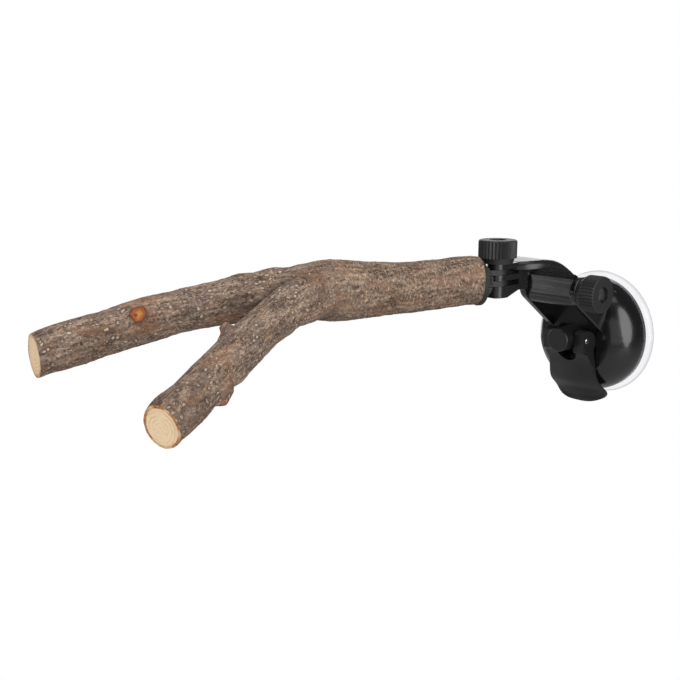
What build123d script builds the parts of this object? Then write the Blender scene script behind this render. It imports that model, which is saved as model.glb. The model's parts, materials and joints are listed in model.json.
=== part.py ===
"""Bird perch: a natural forked branch held out from a window by a lever suction mount.

Frame: the origin is the centre of the pad's contact face on the glass, +Z is up and the
perch reaches into the room along -Y. "Out" below is the distance from the glass.
"""
import os
from math import cos, radians, sin

from build123d import *

# Fits shared by the whole mount
OVERRUN = 20.0
RUNNING_FIT = 0.1
SIDE_FIT = 0.3
SEAT_FIT = 0.15

# Suction pad, lying on the glass
PAD_DIAMETER = 75.0
PAD_LIP = 1.3
PAD_SEAT = 3.6
PAD_SEAT_DIAMETER = 71.0
CHAMBER_DIAMETER = 48.0
CHAMBER_DEPTH = 2.4
CORE_DIAMETER = 27.0
CORE_TOP_DIAMETER = 24.6
CORE_HEIGHT = 9.5

# Stem drawn by the lever
STEM_DIAMETER = 14.4
STEM_OUT = 44.0
STEM_ROUND = 1.3
FOOT_DIAMETER = 20.0
FOOT_THICKNESS = 3.0

# Dome over the pad
DOME_DIAMETER = 69.2
DOME_RIM = 1.6
DOME_OUT = 25.8
DOME_TOP_SHARE = 0.68
DOME_SHOULDER_SHARE = 0.84
DOME_SHOULDER_OUT_SHARE = 0.57
DOME_WALL = 2.4
DOME_ROOF = 3.0
GUIDE_DIAMETER = 21.0
GUIDE_LENGTH = 11.5
RIM_ROUND = 0.8

# Ears that carry the tilting arm
EAR_GAP = 32.0
EAR_THICKNESS = 4.0
EAR_ROUND = 0.9
KNOB_EAR_RADIUS = 8.8
NUT_EAR_RADIUS = 8.4
TILT_OUT = 47.5
TILT_UP = 31.0
EAR_FRONT_OUT = 24.2
EAR_FRONT_UP = 3.0
EAR_BACK_OUT = 9.0
EAR_BACK_UP = 26.0
EAR_ROOT_OUT = 14.0
NUT_BOSS_DIAMETER = 12.4
NUT_BOSS_HEIGHT = 1.6

# Knobs, bolts and nuts of both pivots
KNOB_DIAMETER = 21.0
KNOB_GRIP = 9.7
KNOB_COLLAR = 3.1
KNOB_COLLAR_DIAMETER = 16.8
KNOB_NECK_DIAMETER = 18.8
KNOB_RIDGES = 34
KNOB_RIDGE_DEPTH = 0.7
KNOB_ROUND = 1.2
POCKET_FLATS = 8.6
POCKET_DEPTH = 6.0
BOLT_DIAMETER = 5.0
BOLT_HEAD_FLATS = 8.0
BOLT_HEAD_HEIGHT = 4.0
NUT_FLATS = 8.0
NUT_HEIGHT = 4.0
NUT_POCKET_FLATS = 8.3
BOLT_TAIL = 0.6

# Cam lever and its pin
PIN_OUT = 34.3
PIN_DIAMETER = 3.0
PIN_PROUD = 0.25
FORK_WIDTH = 29.0
FORK_SLOT = 15.2
SLOT_DROP = 14.0
CAM_THROW = 2.0
CAM_START = 50.0
CAM_FRONT = 3.2
PADDLE_WIDTH = 36.8
PADDLE_CROWN = 3.4
PADDLE_FLARE_DROP = 8.0
PADDLE_OVERHANG = 5.9
PADDLE_TIP_OUT = 19.6
# Level sections of the lever: share of the drop, then for its front and for its rear the share
# of the run back to the tip and the share of the crown
LEVER_SHARES = (
    (0.05, -0.2, 0.1, 0.5, 0.0),
    (0.25, 0.05, 0.5, 0.52, 0.0),
    (0.445, 0.28, 0.65, 0.53, 0.08),
    (0.605, 0.385, 0.8, 0.515, 0.55),
    (0.765, 0.67, 1.0, 0.84, 0.85),
    (1.0, 0.91, 0.8, 1.09, 0.8),
)
# Right edge of the paddle in front view: share of the drop, share of half its width
PADDLE_EDGE_SHARES = ((0.445, 0.87), (0.62, 0.94), (0.77, 1.0), (0.88, 0.93), (0.965, 0.66))

# Tilting arm: hub, rounded hood, and a wall at its nose that carries three prongs
HUB_RADIUS = 6.0
HUB_BACK = 1.0
HUB_DROP = 3.4
BLOCK_FRONT_OUT = 2.8
BLOCK_FRONT_UP = 10.0
BLOCK_BACK_OUT = 8.0
BLOCK_BACK_UP = 4.0
HOOD_THICKNESS = 4.2
HOOD_ROUND = 3.0
HOOD_REAR_BACK = 10.0
HOOD_REAR_UP = 2.8
HOOD_CREST_UP = 19.4
HOOD_CREST_SHARE = 0.38
HOOD_MID_SHARE = 0.057
HOOD_MID_UP_SHARE = 0.57
HOOD_NOSE_BACK = 8.8
HOOD_BULGE = 0.5
HOOD_BULGE_SHARE = 0.7
HOOD_PLAN_SHARE = 0.332
WALL_THICKNESS = 8.0

# Swivel: five flat layers on one upright bolt
SWIVEL_OUT = 100.2
SWIVEL_UP = 42.6
LAYER = 3.05
LAYERS = 5
LAYER_FIT = 0.1
PRONG_WIDTH = 11.0
PRONG_LENGTH = 12.0
PRONG_CLEARANCE = 0.4
SWIVEL_BOSS_DIAMETER = 10.8
SWIVEL_BOSS_HEIGHT = 3.4
SWIVEL_REST = -22.0

# Adapter, thumb ring, washer and stud
STUD_DROP = 2.0
SHOULDER_DIAMETER = 14.8
SHOULDER_THICKNESS = 1.0
RING_DIAMETER = 17.8
RING_THICKNESS = 2.4
RING_RIDGES = 30
RING_RIDGE_DEPTH = 0.6
WASHER_DIAMETER = 25.2
WASHER_RING_DIAMETER = 19.0
WASHER_THICKNESS = 1.6
STUD_DIAMETER = 6.0
STUD_GRIP = 28.0

# Branch: trunk and two prongs
TRUNK_LENGTH = 87.1
TRUNK_DIAMETER = 26.4
TRUNK_BEND = 1.4
TRUNK_SAG = 1.05
FORK_DIAMETER = 30.9
FAR_REACH = 145.4
FAR_SIDE = -3.6
FAR_DROP = 24.7
FAR_ROOT_DIAMETER = 25.8
FAR_TIP_DIAMETER = 21.5
NEAR_ROOT_BACK = 6.1
NEAR_REACH = 106.1
NEAR_SIDE = 84.6
NEAR_DROP = 40.0
NEAR_ROOT_DIAMETER = 25.9
NEAR_TIP_DIAMETER = 19.4
TWIG_DIAMETER = 8.0
TWIG_TIP_DIAMETER = 5.4
TWIG_LENGTH = 4.4
BUMP_DIAMETER = 13.0
BUMP_TIP_DIAMETER = 8.4
BUMP_HEIGHT = 2.9
KNOT_DIAMETER = 10.0
KNOT_TIP_DIAMETER = 7.0
KNOT_HEIGHT = 0.8
# Trunk stations: share of length, of bend, of sag, of the growth from clamp to fork, and of ovality
TRUNK_SHARES = (
    (0.0, -0.11, -0.26, 0.0, 1.0),
    (0.114, -0.13, -0.85, 0.07, 1.0),
    (0.299, 0.21, 0.44, 0.04, 1.02),
    (0.53, 0.51, 1.0, 0.38, 0.98),
    (0.786, 0.81, 0.96, 0.76, 1.02),
    (1.0, 1.0, 0.55, 1.0, 1.02),
)
# Prong stations: share of reach, of side, of drop, of the taper from root to tip, and of ovality
FAR_SHARES = (
    (0.118, 0.17, -0.02, 0.0, 1.02),
    (0.254, 0.43, 0.032, 0.30, 0.98),
    (0.412, 0.62, 0.166, 0.79, 1.02),
    (0.562, 0.80, 0.325, 0.77, 0.98),
    (0.684, 0.875, 0.486, 0.79, 1.02),
    (0.786, 0.887, 0.65, 0.77, 0.98),
    (0.893, 0.936, 0.811, 0.74, 1.02),
    (0.969, 1.01, 0.929, 0.84, 1.0),
    (1.0, 1.0, 1.0, 1.0, 1.0),
)
NEAR_SHARES = (
    (0.0, 0.0, 0.0, 0.35, 1.0),
    (0.1, 0.03, 0.018, 0.2, 1.0),
    (0.198, 0.093, 0.06, 0.108, 1.0),
    (0.315, 0.194, 0.16, 0.46, 1.0),
    (0.433, 0.308, 0.284, 0.754, 1.0),
    (0.606, 0.506, 0.506, 0.729, 1.02),
    (0.758, 0.687, 0.686, 0.98, 0.98),
    (0.878, 0.846, 0.849, 0.81, 1.02),
    (0.959, 0.944, 0.942, 0.82, 1.0),
    (1.0, 1.0, 1.0, 1.0, 1.0),
)
# Growths on the prongs: share along the stations, and the shares of right, inward and up they face;
# last the way the far prong's sloping saw cut faces
TWIG_PLACE_SHARE = 0.533
TWIG_FACING_SHARES = (-0.3, -0.55, 0.75)
BUMP_PLACE_SHARE = 0.671
BUMP_FACING_SHARES = (0.35, 0.65, -0.65)
KNOT_PLACE_SHARE = 0.475
KNOT_FACING_SHARES = (0.85, -0.1, 0.5)
FAR_CUT_FACING_SHARES = (0.26, -0.93, -0.26)

# Sizes that follow from the ones above
PAD_R = PAD_DIAMETER / 2
PADDLE_DROP = DOME_DIAMETER / 2 + PADDLE_OVERHANG
FOOT_OUT = CORE_HEIGHT - FOOT_THICKNESS
EAR_INNER = EAR_GAP / 2
EAR_OUTER = EAR_INNER + EAR_THICKNESS
HUB_WIDTH = EAR_GAP - 2 * SIDE_FIT
KNOB_LENGTH = KNOB_COLLAR + KNOB_GRIP
STACK_HEIGHT = LAYER * LAYERS
STACK_LOW = SWIVEL_UP - STACK_HEIGHT / 2
STACK_TOP = SWIVEL_UP + STACK_HEIGHT / 2
PRONG_R = PRONG_WIDTH / 2
PRONG_ROOT = PRONG_R + PRONG_CLEARANCE
ARM_REACH = SWIVEL_OUT - TILT_OUT
WALL_OUT = SWIVEL_OUT - PRONG_LENGTH
STUD_UP = SWIVEL_UP - STUD_DROP
DOME_TOP_DIAMETER = DOME_TOP_SHARE * DOME_DIAMETER
DOME_SHOULDER_DIAMETER = DOME_TOP_DIAMETER + DOME_SHOULDER_SHARE * (DOME_DIAMETER - DOME_TOP_DIAMETER)
DOME_SHOULDER_OUT = PAD_SEAT + DOME_RIM + DOME_SHOULDER_OUT_SHARE * (DOME_OUT - PAD_SEAT - DOME_RIM)
RING_OUT = PRONG_ROOT + SHOULDER_THICKNESS + LAYER_FIT
WASHER_OUT = RING_OUT + RING_THICKNESS + LAYER_FIT
WOOD_OUT = WASHER_OUT + WASHER_THICKNESS
CAM_FIT = RUNNING_FIT
CAM_RADIUS = PIN_OUT - DOME_OUT - CAM_FIT - CAM_THROW * cos(radians(CAM_START))

# Sketch planes: local x and y are the two words of each name
RADIUS_OUT = Plane(origin=(0, 0, 0), x_dir=(1, 0, 0), z_dir=(0, 0, -1))
OUT_UP = Plane(origin=(0, 0, 0), x_dir=(0, -1, 0), z_dir=(-1, 0, 0))
OUT_SIDE = Plane(origin=(0, 0, 0), x_dir=(0, -1, 0), z_dir=(0, 0, 1))
SIDE_UP = Plane(origin=(0, 0, 0), x_dir=(1, 0, 0), z_dir=(0, -1, 0))
OUT_AXIS = Axis((0, 0, 0), (0, -1, 0))
SWIVEL_AXIS = Axis((0, -SWIVEL_OUT, 0), (0, 0, 1))


def face_of(*edges):
    """A face inside a closed run of edges."""
    return make_face(Curve() + list(edges))


def out_plane(side, out, up):
    """A plane that faces into the room."""
    return Plane(origin=(side, -out, up), x_dir=(1, 0, 0), z_dir=(0, -1, 0))


def right_plane(side, out, up):
    """A plane that faces right, with its own x axis upright."""
    return Plane(origin=(side, -out, up), x_dir=(0, 0, 1), z_dir=(1, 0, 0))


def up_plane(side, out, up):
    """A plane that faces up."""
    return Plane(origin=(side, -out, up), x_dir=(1, 0, 0), z_dir=(0, 0, 1))


def prism(plane, sketch, length):
    """A straight solid that stands on the plane."""
    return extrude(plane * sketch, length, dir=plane.z_dir)


def rod(plane, diameter, length):
    """A round bar that starts on the plane."""
    return prism(plane, Circle(diameter / 2), length)


def hexagon(plane, flats, length):
    """A hexagonal bar that starts on the plane."""
    return prism(plane, RegularPolygon(flats / 2, 6, major_radius=False), length)


def ridged(plane, diameter, depth, count, length):
    """A straight-ridged grip that starts on the plane."""
    outer = diameter / 2
    points = []
    for i in range(2 * count):
        angle = radians(180 * i / count)
        reach = outer - depth * (i % 2)
        points.append((reach * cos(angle), reach * sin(angle)))
    return prism(plane, Polygon(*points, align=None), length)


def suction_pad():
    """Soft disc with a flat contact ring, a shallow chamber and a core for the stem's foot."""
    socket_r = FOOT_DIAMETER / 2 + SEAT_FIT
    profile = RADIUS_OUT * face_of(
        Polyline(
            (CHAMBER_DIAMETER / 2, 0),
            (PAD_R, 0),
            (PAD_R, PAD_LIP),
            (PAD_SEAT_DIAMETER / 2, PAD_SEAT),
            (CORE_DIAMETER / 2, PAD_SEAT),
            (CORE_TOP_DIAMETER / 2, CORE_HEIGHT),
            (socket_r, CORE_HEIGHT),
            (socket_r, FOOT_OUT),
            (0, FOOT_OUT),
            (0, CHAMBER_DEPTH),
        ),
        Spline(
            (0, CHAMBER_DEPTH),
            (CHAMBER_DIAMETER / 2, 0),
            tangents=((1, 0), (1, 0)),
        ),
    )
    return revolve(profile, OUT_AXIS)


def pad_stem():
    """Round peg with a foot in the pad and a cross hole for the pin."""
    foot = rod(out_plane(0, FOOT_OUT, 0), FOOT_DIAMETER, FOOT_THICKNESS)
    shaft = rod(out_plane(0, FOOT_OUT, 0), STEM_DIAMETER, STEM_OUT - FOOT_OUT)
    shaft = fillet(shaft.edges().sort_by(Axis.Y)[0], STEM_ROUND)
    hole = rod(right_plane(-STEM_DIAMETER, PIN_OUT, 0), PIN_DIAMETER + 2 * RUNNING_FIT, 2 * STEM_DIAMETER)
    return foot + shaft - hole


def dome_shell():
    """Bulging cover, solid, before its hollow is cut."""
    profile = RADIUS_OUT * face_of(
        Polyline(
            (0, DOME_OUT),
            (0, PAD_SEAT),
            (DOME_DIAMETER / 2, PAD_SEAT),
            (DOME_DIAMETER / 2, PAD_SEAT + DOME_RIM),
        ),
        ThreePointArc(
            (DOME_DIAMETER / 2, PAD_SEAT + DOME_RIM),
            (DOME_SHOULDER_DIAMETER / 2, DOME_SHOULDER_OUT),
            (DOME_TOP_DIAMETER / 2, DOME_OUT),
        ),
        Line((DOME_TOP_DIAMETER / 2, DOME_OUT), (0, DOME_OUT)),
    )
    return revolve(profile, OUT_AXIS)


def dome_hollow():
    """Space under the cover, round the guide tube."""
    roof = DOME_OUT - DOME_ROOF
    guide_end = DOME_OUT - GUIDE_LENGTH
    inner_r = DOME_DIAMETER / 2 - DOME_WALL
    profile = RADIUS_OUT * face_of(
        Polyline(
            (0, guide_end),
            (GUIDE_DIAMETER / 2, guide_end),
            (GUIDE_DIAMETER / 2, roof),
            (DOME_TOP_DIAMETER / 2 - DOME_WALL, roof),
        ),
        ThreePointArc(
            (DOME_TOP_DIAMETER / 2 - DOME_WALL, roof),
            (DOME_SHOULDER_DIAMETER / 2 - DOME_WALL, DOME_SHOULDER_OUT - DOME_WALL / 2),
            (inner_r, PAD_SEAT + DOME_RIM),
        ),
        Polyline((inner_r, PAD_SEAT + DOME_RIM), (inner_r, PAD_SEAT), (0, PAD_SEAT), (0, guide_end)),
    )
    return revolve(profile, OUT_AXIS)


def ear(side, radius):
    """Upright plate from the dome to the tilt pivot, seen from the side."""
    outline = (Pos(TILT_OUT, TILT_UP) * Circle(radius)).edges() + Polyline(
        (EAR_BACK_OUT, EAR_BACK_UP),
        (EAR_ROOT_OUT, EAR_FRONT_UP),
        (EAR_FRONT_OUT, EAR_FRONT_UP),
        close=True,
    ).edges()
    plate = extrude(OUT_UP * make_hull(outline), EAR_THICKNESS / 2, both=True)
    plate = fillet(plate.faces().filter_by(Axis.X).edges(), EAR_ROUND)
    return Pos(side * (EAR_INNER + EAR_THICKNESS / 2), 0, 0) * plate


def cup_dome():
    """Moulded cover with its two ears, the guide for the stem and a nut seat in the left ear."""
    rim = fillet(dome_shell().edges().filter_by(GeomType.CIRCLE).group_by(Axis.Y)[-1], RIM_ROUND)
    boss = rod(right_plane(-EAR_OUTER - NUT_BOSS_HEIGHT, TILT_OUT, TILT_UP), NUT_BOSS_DIAMETER,
               NUT_BOSS_HEIGHT + EAR_THICKNESS / 2)
    body = rim + ear(1, KNOB_EAR_RADIUS) + ear(-1, NUT_EAR_RADIUS) + boss
    body -= dome_hollow()
    body -= rod(out_plane(0, 0, 0), STEM_DIAMETER + 2 * RUNNING_FIT, DOME_OUT + OVERRUN)
    body -= rod(right_plane(-EAR_OUTER - OVERRUN, TILT_OUT, TILT_UP), BOLT_DIAMETER + 2 * RUNNING_FIT,
                2 * (EAR_OUTER + OVERRUN))
    pocket = right_plane(-EAR_OUTER - NUT_BOSS_HEIGHT - OVERRUN, TILT_OUT, TILT_UP)
    return body - hexagon(pocket, NUT_POCKET_FLATS, OVERRUN + NUT_HEIGHT + SEAT_FIT)


def knob(plane):
    """Ridged thumb knob on a smooth tapered collar, with a hexagon pocket in its face."""
    outer = KNOB_DIAMETER / 2
    profile = face_of(
        Polyline(
            (0, 0),
            (KNOB_COLLAR_DIAMETER / 2, 0),
            (KNOB_NECK_DIAMETER / 2, KNOB_COLLAR),
            (outer, KNOB_COLLAR),
            (outer, KNOB_LENGTH - KNOB_ROUND),
        ),
        RadiusArc((outer, KNOB_LENGTH - KNOB_ROUND), (outer - KNOB_ROUND, KNOB_LENGTH), -KNOB_ROUND),
        Polyline((outer - KNOB_ROUND, KNOB_LENGTH), (0, KNOB_LENGTH), (0, 0)),
    )
    body = revolve(Plane.XZ * profile, Axis.Z)
    grip = ridged(Plane.XY, KNOB_DIAMETER, KNOB_RIDGE_DEPTH, KNOB_RIDGES, KNOB_LENGTH)
    body = body & grip
    body -= hexagon(Plane.XY.offset(KNOB_LENGTH - POCKET_DEPTH), POCKET_FLATS, POCKET_DEPTH + OVERRUN)
    body -= rod(Plane.XY, BOLT_DIAMETER + RUNNING_FIT, KNOB_LENGTH)
    return plane * body


def bolt(plane, below):
    """Hexagon bolt in a knob's pocket, with its shank running below the knob."""
    seat = KNOB_LENGTH - POCKET_DEPTH
    head = hexagon(Plane.XY.offset(seat), BOLT_HEAD_FLATS, BOLT_HEAD_HEIGHT)
    shank = rod(Plane.XY.offset(-below), BOLT_DIAMETER, below + seat)
    return plane * (head + shank)


def nut(plane):
    """Hexagon nut whose bearing face lies on the plane."""
    body = hexagon(Plane.XY, NUT_FLATS, NUT_HEIGHT)
    return plane * (body - rod(Plane.XY, BOLT_DIAMETER + RUNNING_FIT, NUT_HEIGHT))


def lever_section(drop, front, front_crown, rear, rear_crown):
    """Level crescent through the lever, bowed over the dome."""
    half = PADDLE_WIDTH / 2
    run = PIN_OUT - PADDLE_TIP_OUT
    front_out = PIN_OUT - front * run
    rear_out = PIN_OUT - rear * run
    front_edge = front_out - front_crown * PADDLE_CROWN
    rear_edge = rear_out - rear_crown * PADDLE_CROWN
    return OUT_SIDE.offset(-drop * PADDLE_DROP) * face_of(
        Spline((front_edge, -half), (front_out, 0), (front_edge, half)),
        Line((front_edge, half), (rear_edge, half)),
        Spline((rear_edge, half), (rear_out, 0), (rear_edge, -half)),
        Line((rear_edge, -half), (front_edge, -half)),
    )


def lever_front():
    """Front view of the lever: straight fork that flares into the rounded paddle."""
    fork = FORK_WIDTH / 2
    half = PADDLE_WIDTH / 2
    right = [(across * half, -drop * PADDLE_DROP) for drop, across in PADDLE_EDGE_SHARES]
    left = [(-x, y) for x, y in reversed(right)]
    start = (fork, -PADDLE_FLARE_DROP)
    end = (-fork, -PADDLE_FLARE_DROP)
    edge = Spline(start, *right, (0, -PADDLE_DROP), *left, end, tangents=((0, -1), (0, 1)))
    return face_of(edge, Polyline(end, (-fork, OVERRUN), (fork, OVERRUN), start))


def lever_cam():
    """Eccentric hub on the pin, cut flat in front."""
    phase = radians(180 + CAM_START)
    disc = Pos(PIN_OUT + CAM_THROW * cos(phase), CAM_THROW * sin(phase)) * Circle(CAM_RADIUS)
    reach = Pos(PIN_OUT + CAM_FRONT, 0) * Rectangle(OVERRUN, 2 * OVERRUN, align=(Align.MAX, Align.CENTER))
    return extrude(OUT_UP * (disc & reach), FORK_WIDTH / 2, both=True)


def cam_lever():
    """Forked lever that straddles the stem and bears on the dome with two eccentric hubs."""
    body = loft([lever_section(*shares) for shares in LEVER_SHARES])
    body &= prism(SIDE_UP, lever_front(), STEM_OUT + OVERRUN)
    body += lever_cam()
    half_slot = FORK_SLOT / 2
    slot = Rectangle(FORK_SLOT, SLOT_DROP - half_slot + OVERRUN, align=(Align.CENTER, Align.MIN))
    slot = Pos(0, half_slot - SLOT_DROP) * (slot + Circle(half_slot))
    body -= prism(SIDE_UP, slot, STEM_OUT + OVERRUN)
    return body - rod(right_plane(-PADDLE_WIDTH, PIN_OUT, 0), PIN_DIAMETER, 2 * PADDLE_WIDTH)


def lever_pin():
    """Steel cross pin, a little proud of the fork on both sides."""
    length = FORK_WIDTH + 2 * PIN_PROUD
    pin = rod(right_plane(-length / 2, PIN_OUT, 0), PIN_DIAMETER, length)
    return chamfer(pin.edges().filter_by(GeomType.CIRCLE), PIN_PROUD)


def hood_outline():
    """Side view of the hood: a curved strip from behind the hub to the nose over the prongs."""
    rear = Vector(TILT_OUT - HOOD_REAR_BACK, TILT_UP + HOOD_REAR_UP)
    mid = Vector(TILT_OUT + HOOD_MID_SHARE * ARM_REACH, TILT_UP + HOOD_CREST_UP * HOOD_MID_UP_SHARE)
    crest = Vector(TILT_OUT + HOOD_CREST_SHARE * ARM_REACH, TILT_UP + HOOD_CREST_UP)
    bulge = Vector(TILT_OUT + HOOD_BULGE_SHARE * ARM_REACH, STACK_TOP + HOOD_BULGE)
    nose = Vector(SWIVEL_OUT - HOOD_NOSE_BACK, STACK_TOP)
    down = Vector(0, -HOOD_THICKNESS)
    back = Vector(HOOD_THICKNESS / 2, -HOOD_THICKNESS / 2)
    top = [rear, mid, crest, bulge, nose]
    low = [nose + down, bulge + down, crest + down, mid + down, rear + back]
    return face_of(Spline(*top), Line(top[-1], low[0]), Spline(*low), Line(low[-1], top[0]))


def hood_plan():
    """Hood from above: straight sides at the hub, then half an ellipse to the nose."""
    start = TILT_OUT + HOOD_PLAN_SHARE * ARM_REACH
    nose = SWIVEL_OUT - HOOD_NOSE_BACK
    oval = Pos(start, 0) * Ellipse(nose - start, HUB_WIDTH / 2)
    return oval + Pos(start, 0) * Rectangle(2 * OVERRUN, HUB_WIDTH, align=(Align.MAX, Align.CENTER))


def hood():
    """Curved hood with its upper edges rounded over."""
    body = prism(OUT_UP.offset(-HUB_WIDTH), hood_outline(), 2 * HUB_WIDTH)
    body &= prism(OUT_SIDE, hood_plan(), STACK_TOP + OVERRUN)
    top = body.faces().sort_by(Axis.Z)[-1]
    return fillet(top.edges().sort_by(Axis.Y)[:-1], HOOD_ROUND)


def hub_block():
    """Block under the hood, between the ears, that turns on the tilt bolt."""
    outline = (Pos(TILT_OUT - HUB_BACK, TILT_UP - HUB_DROP) * Circle(HUB_RADIUS)).edges() + Polyline(
        (TILT_OUT - BLOCK_BACK_OUT, TILT_UP + BLOCK_BACK_UP),
        (TILT_OUT + BLOCK_FRONT_OUT, TILT_UP + BLOCK_FRONT_UP),
    ).edges()
    return extrude(OUT_UP * make_hull(outline), HUB_WIDTH / 2, both=True)


def prong(low):
    """Flat lug on the swivel axis with a round end, running back to the wall."""
    centre = Pos(SWIVEL_OUT, 0)
    back = Rectangle(PRONG_LENGTH, PRONG_WIDTH, align=(Align.MAX, Align.CENTER))
    return prism(OUT_SIDE.offset(low), centre * Circle(PRONG_R) + centre * back, LAYER)


def boss_web():
    """Sloping rib from the nut's boss back to the wall, seen from the side."""
    low = STACK_LOW - SWIVEL_BOSS_HEIGHT
    outline = Polygon((SWIVEL_OUT, low), (SWIVEL_OUT, STACK_LOW), (WALL_OUT, STACK_LOW),
                      (SWIVEL_OUT - PRONG_R / 2, low), align=None)
    return extrude(OUT_UP * outline, SWIVEL_BOSS_DIAMETER / 2, both=True)


def arm():
    """Arm that tilts between the ears and carries the lower, middle and upper prongs of the swivel."""
    body = hood() + hub_block()
    wall = Pos(WALL_OUT, 0) * Rectangle(WALL_THICKNESS, PRONG_WIDTH, align=(Align.MAX, Align.CENTER))
    body += prism(OUT_SIDE.offset(STACK_LOW), wall, STACK_HEIGHT - HOOD_THICKNESS / 2)
    for i in range(0, LAYERS, 2):
        body += prong(STACK_LOW + i * LAYER)
    boss_low = up_plane(0, SWIVEL_OUT, STACK_LOW - SWIVEL_BOSS_HEIGHT)
    body += rod(boss_low, SWIVEL_BOSS_DIAMETER, SWIVEL_BOSS_HEIGHT) + boss_web()
    body -= rod(boss_low, BOLT_DIAMETER + 2 * RUNNING_FIT, STACK_HEIGHT + SWIVEL_BOSS_HEIGHT + OVERRUN)
    body -= hexagon(boss_low, NUT_POCKET_FLATS, NUT_HEIGHT + SEAT_FIT)
    return body - rod(right_plane(-EAR_GAP, TILT_OUT, TILT_UP), BOLT_DIAMETER + 2 * RUNNING_FIT, 2 * EAR_GAP)


def at_rest(piece):
    """Turns what the swivel carries from straight out to its rest angle."""
    return piece.rotate(SWIVEL_AXIS, SWIVEL_REST)


def prong_adapter():
    """Two prongs between the arm's three, joined by a round shoulder that holds the stud."""
    shoulder = out_plane(0, SWIVEL_OUT + PRONG_ROOT, STUD_UP)
    body = rod(shoulder, SHOULDER_DIAMETER, SHOULDER_THICKNESS)
    reach = PRONG_ROOT + SHOULDER_THICKNESS / 2
    lug = Circle(PRONG_R) + Rectangle(reach, PRONG_WIDTH, align=(Align.MIN, Align.CENTER))
    for i in range(1, LAYERS, 2):
        low = STACK_LOW + i * LAYER + LAYER_FIT
        body += prism(OUT_SIDE.offset(low), Pos(SWIVEL_OUT, 0) * lug, LAYER - 2 * LAYER_FIT)
    body -= rod(up_plane(0, SWIVEL_OUT, STACK_LOW), BOLT_DIAMETER + 2 * RUNNING_FIT, STACK_HEIGHT)
    return at_rest(body - rod(shoulder, STUD_DIAMETER, SHOULDER_THICKNESS))


def lock_ring():
    """Ridged thumb ring that turns on the stud."""
    plane = out_plane(0, SWIVEL_OUT + RING_OUT, STUD_UP)
    body = ridged(plane, RING_DIAMETER, RING_RIDGE_DEPTH, RING_RIDGES, RING_THICKNESS)
    return at_rest(body - rod(plane, STUD_DIAMETER + 2 * RUNNING_FIT, RING_THICKNESS))


def friction_washer():
    """Flange that widens from the ring to the cut end of the trunk."""
    plane = out_plane(0, SWIVEL_OUT + WASHER_OUT, STUD_UP)
    ring_side = plane * Circle(WASHER_RING_DIAMETER / 2)
    wood_side = plane.offset(WASHER_THICKNESS) * Circle(WASHER_DIAMETER / 2)
    body = loft([ring_side, wood_side])
    return at_rest(body - rod(plane, STUD_DIAMETER + 2 * RUNNING_FIT, WASHER_THICKNESS))


def branch_stud():
    """Steel stud from the adapter's shoulder into the trunk."""
    plane = out_plane(0, SWIVEL_OUT + PRONG_ROOT, STUD_UP)
    return at_rest(rod(plane, STUD_DIAMETER, WOOD_OUT - PRONG_ROOT + STUD_GRIP))


def wood_point(side, along, up):
    """A place on the branch: right of, along and above the stud's axis, from the cut end."""
    return Vector(side, -(SWIVEL_OUT + WOOD_OUT + along), STUD_UP + up)


def trunk_stations():
    """Centres, diameters and ovality of the trunk's sections."""
    growth = FORK_DIAMETER - TRUNK_DIAMETER
    stations = []
    for along, bend, sag, grown, oval in TRUNK_SHARES:
        centre = wood_point(bend * TRUNK_BEND, along * TRUNK_LENGTH, -sag * TRUNK_SAG)
        stations.append((centre, TRUNK_DIAMETER + grown * growth, oval))
    return stations


def prong_stations(start, reach, side, drop, root, tip, shares):
    """Centres, diameters and ovality of a prong's sections, from the end of the trunk."""
    stations = []
    for along, across, fall, taper, oval in shares:
        centre = start + Vector(across * side, -along * reach, -fall * drop)
        stations.append((centre, root + taper * (tip - root), oval))
    return stations


def far_stations():
    """Sections of the prong that carries on from the trunk."""
    start = trunk_stations()[-1][0]
    return prong_stations(
        start, FAR_REACH, FAR_SIDE, FAR_DROP, FAR_ROOT_DIAMETER, FAR_TIP_DIAMETER, FAR_SHARES
    )


def near_stations():
    """Sections of the prong that turns off to the right."""
    start = trunk_stations()[-1][0] + Vector(0, NEAR_ROOT_BACK, 0)
    return prong_stations(
        start, NEAR_REACH, NEAR_SIDE, NEAR_DROP, NEAR_ROOT_DIAMETER, NEAR_TIP_DIAMETER, NEAR_SHARES
    )


def heading(stations, i):
    """Direction of growth at a section."""
    before = stations[max(i - 1, 0)][0]
    after = stations[min(i + 1, len(stations) - 1)][0]
    return (after - before).normalized()


def limb(stations, last_heading=None):
    """Smooth loft through oval sections, each square to the direction of growth."""
    headings = [heading(stations, i) for i in range(len(stations))]
    headings[0] = Vector(0, -1, 0)
    if last_heading:
        headings[-1] = last_heading.normalized()
    sections = []
    for (centre, diameter, oval), along in zip(stations, headings):
        across = along.cross(Vector(0, 0, 1)).normalized()
        plane = Plane(origin=centre, x_dir=across, z_dir=along)
        sections.append(plane * Ellipse(diameter / 2 / oval, diameter / 2 * oval))
    return loft(sections)


def on_limb(stations, share, outward):
    """A plane on a limb's surface at a share of its stations, facing outward."""
    place = share * (len(stations) - 1)
    i = min(int(place), len(stations) - 2)
    t = place - i
    centre = stations[i][0] * (1 - t) + stations[i + 1][0] * t
    diameter = stations[i][1] * (1 - t) + stations[i + 1][1] * t
    along = heading(stations, i)
    facing = (outward - along * outward.dot(along)).normalized()
    return Plane(origin=centre + facing * (diameter / 2), z_dir=facing)


def stub(plane, root, tip, height):
    """Short tapered growth that stands on the bark and is rooted below it."""
    sunk = root / 2
    low = plane.offset(-sunk) * Circle(root / 2)
    mid = plane * Circle(root / 2)
    top = plane.offset(height) * Circle(tip / 2)
    return loft([low, mid, top], ruled=True)


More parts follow.
